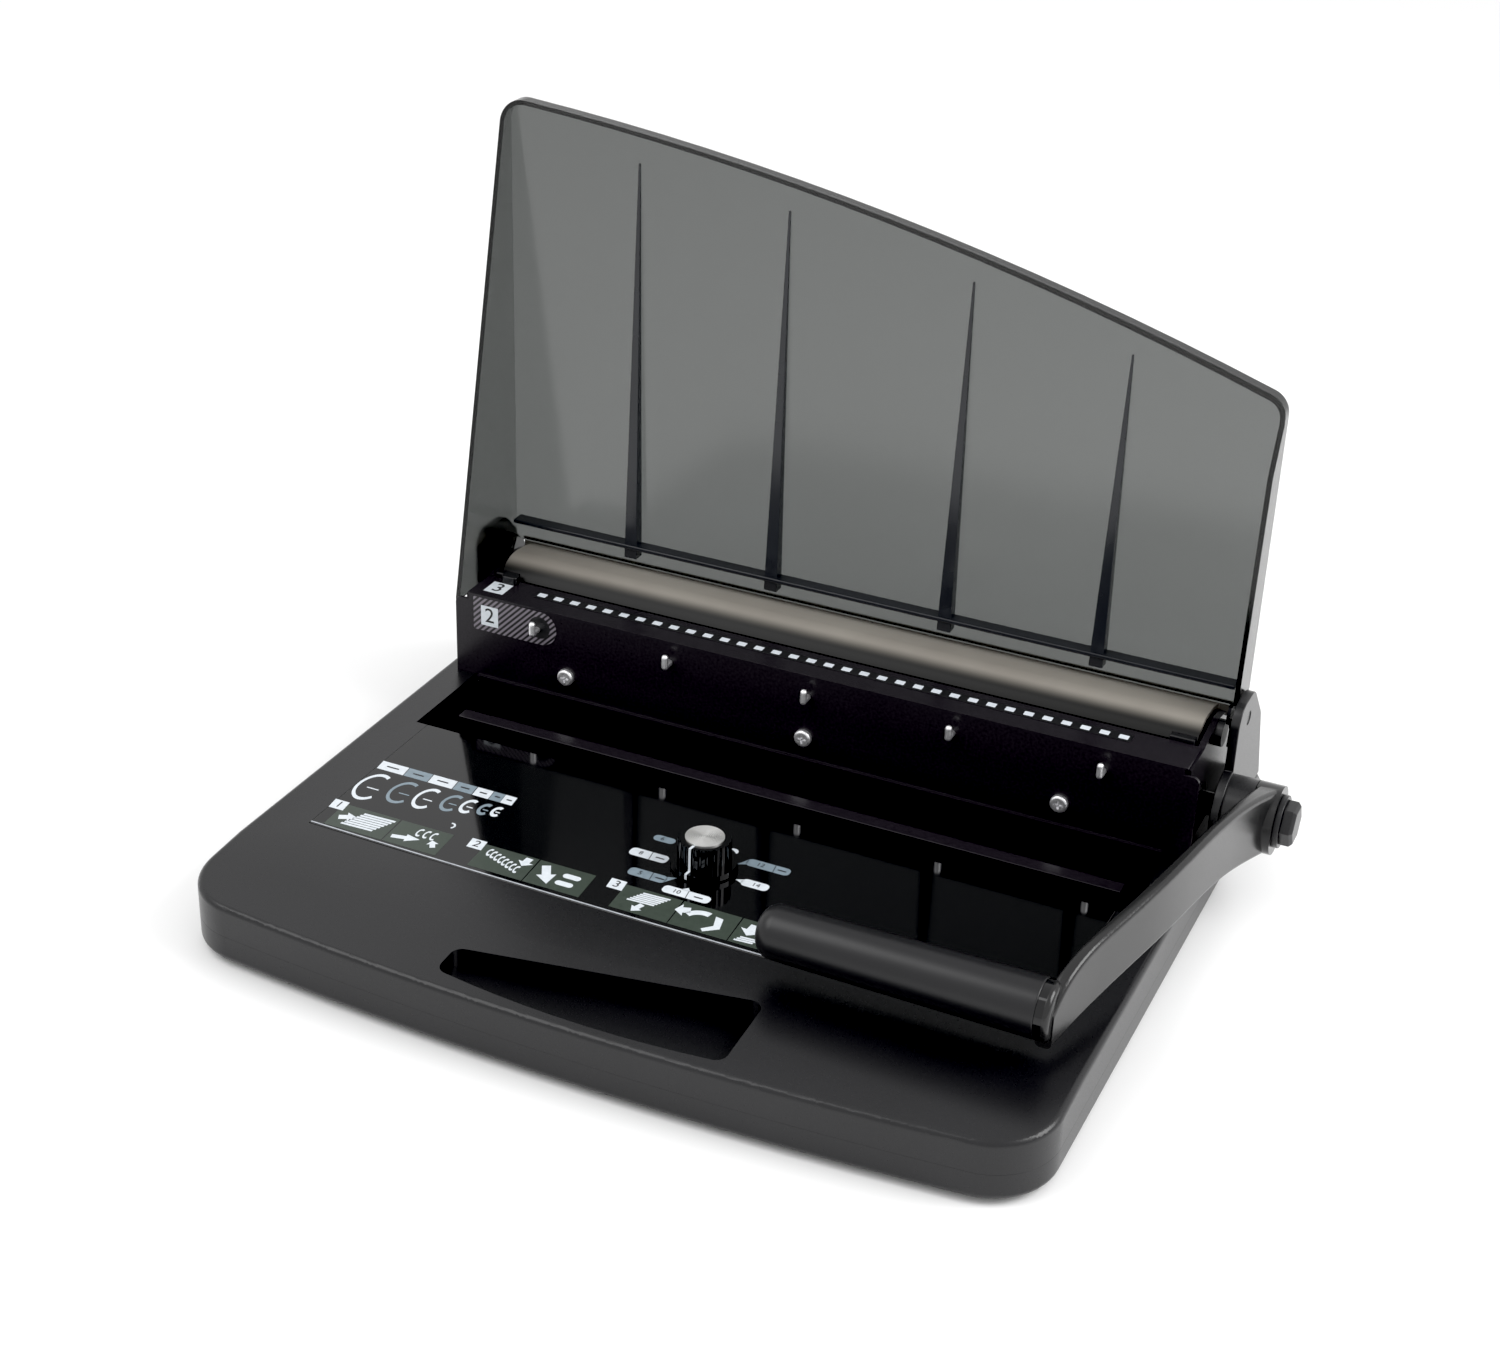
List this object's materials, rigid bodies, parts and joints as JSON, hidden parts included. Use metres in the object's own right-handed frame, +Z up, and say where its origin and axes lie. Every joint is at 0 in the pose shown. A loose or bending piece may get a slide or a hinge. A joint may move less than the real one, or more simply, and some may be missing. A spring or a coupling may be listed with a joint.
{
  "type": "wire binding machine",
  "caption": "Desk wire binding machine with a front lever that punches and closes, a size dial, a row of punch marks and a smoked hinged lid.",
  "frame": {"origin": "on the surface that the feet stand on, under the middle of the whole machine as stored, lever down and lid open", "axes": "+X to the machine's right, where the lever is; +Y to its back; +Z up"},
  "size_m": [0.4, 0.33, 0.2905],
  "materials": {
    "moulded_black": "satin, fine moulded texture",
    "foot_rubber": "matt",
    "zinc_steel": "bright zinc",
    "gloss_black": "high gloss",
    "plate_steel": "plain sheet",
    "bush_brass": "turned",
    "textured_steel": "textured black powder coat",
    "bright_chrome": "polished",
    "ruler_white": "printed marks",
    "tool_steel": "ground",
    "black_oxide": "blackened and oiled",
    "cover_grey": "satin warm grey",
    "painted_arm": "satin black paint",
    "satin_grip": "satin",
    "spun_aluminium": "spun",
    "smoked_plastic": "clear smoked plastic, satin inside"
  },
  "bodies": {
    "base": {"base_shell": "moulded_black", "bottom_tray": "moulded_black", "rubber_feet": "foot_rubber", "tray_screws": "zinc_steel", "gloss_panel": "gloss_black", "chassis_plate": "textured_steel", "left_frame": "textured_steel", "right_frame": "textured_steel", "shaft_bushes": "moulded_black", "front_plate": "textured_steel", "lower_rail": "textured_steel", "front_plate_screws": "bright_chrome", "wire_hook_pins": "bright_chrome", "plate_rivets": "textured_steel", "top_deck": "textured_steel", "ruler_strip": "ruler_white", "die_plate": "black_oxide", "guide_plate": "black_oxide", "throat_floor": "black_oxide", "throat_spacers": "black_oxide", "left_end_block": "moulded_black", "right_end_block": "moulded_black", "guide_rods": "tool_steel", "rear_tie": "plate_steel", "rear_cover": "cover_grey", "cover_pivots": "moulded_black", "left_ear": "moulded_black", "right_ear": "moulded_black", "lid_pins": "black_oxide", "arm_bearing": "moulded_black", "dial_bush": "bush_brass", "dial_bracket": "plate_steel"},
    "lever": {"drive_shaft": "black_oxide", "punch_eccentrics": "tool_steel", "closer_cranks": "tool_steel", "lever_arm": "painted_arm", "grip_elbow": "gloss_black", "handle_grip": "satin_grip", "grip_core": "tool_steel", "pivot_collar": "moulded_black", "pivot_cap": "moulded_black"},
    "punch": {"pressure_bar": "plate_steel", "punch_pins": "tool_steel", "drive_yokes": "plate_steel"},
    "jaw": {"closer_jaw": "textured_steel", "closer_rods": "black_oxide"},
    "dial": {"knob_body": "gloss_black", "knob_cap": "spun_aluminium", "dial_spindle": "tool_steel", "size_cam": "bush_brass"},
    "stop": {"size_stop": "plate_steel"},
    "drawer": {"chip_drawer": "moulded_black"},
    "guide": {"edge_guide": "moulded_black"},
    "lid": {"lid_shell": "smoked_plastic", "lid_ribs": "smoked_plastic", "lid_shelf": "smoked_plastic"}
  },
  "joints": [
    {"name": "lid_hinge", "type": "hinge", "parent": "base", "child": "lid", "pos_m": [-0.015, 0.1017, 0.079], "axis": [1, 0, 0], "range_deg": [0, 104]},
    {"name": "lever_pivot", "type": "hinge", "parent": "base", "child": "lever", "pos_m": [-0.015, 0.0837, 0.044], "axis": [-1, 0, 0], "range_deg": [0, 78]},
    {"name": "punch_slide", "type": "slide", "parent": "base", "child": "punch", "axis": [0, 1, 0], "range_m": [0, 0.00798]},
    {"name": "jaw_slide", "type": "slide", "parent": "base", "child": "jaw", "axis": [0, -1, 0], "range_m": [0, 0.01596]},
    {"name": "dial_turn", "type": "hinge", "parent": "base", "child": "dial", "pos_m": [-0.015, -0.0443, 0.0328], "axis": [0, 0, 1], "range_deg": [-150, 150]},
    {"name": "stop_slide", "type": "slide", "parent": "base", "child": "stop", "axis": [0, 1, 0], "range_m": [-0.0025, 0.0025]},
    {"name": "drawer_slide", "type": "slide", "parent": "base", "child": "drawer", "axis": [-1, 0, 0], "range_m": [0, 0.18]},
    {"name": "edge_guide_slide", "type": "slide", "parent": "base", "child": "guide", "axis": [1, 0, 0], "range_m": [-0.004, 0.004]}
  ],
  "couplings": [
    {"joint": "punch_slide", "follows": "lever_pivot", "m_per_rad": 0.0058524},
    {"joint": "jaw_slide", "follows": "lever_pivot", "m_per_rad": 0.011714},
    {"joint": "stop_slide", "follows": "dial_turn", "m_per_rad": -0.00095}
  ]
}
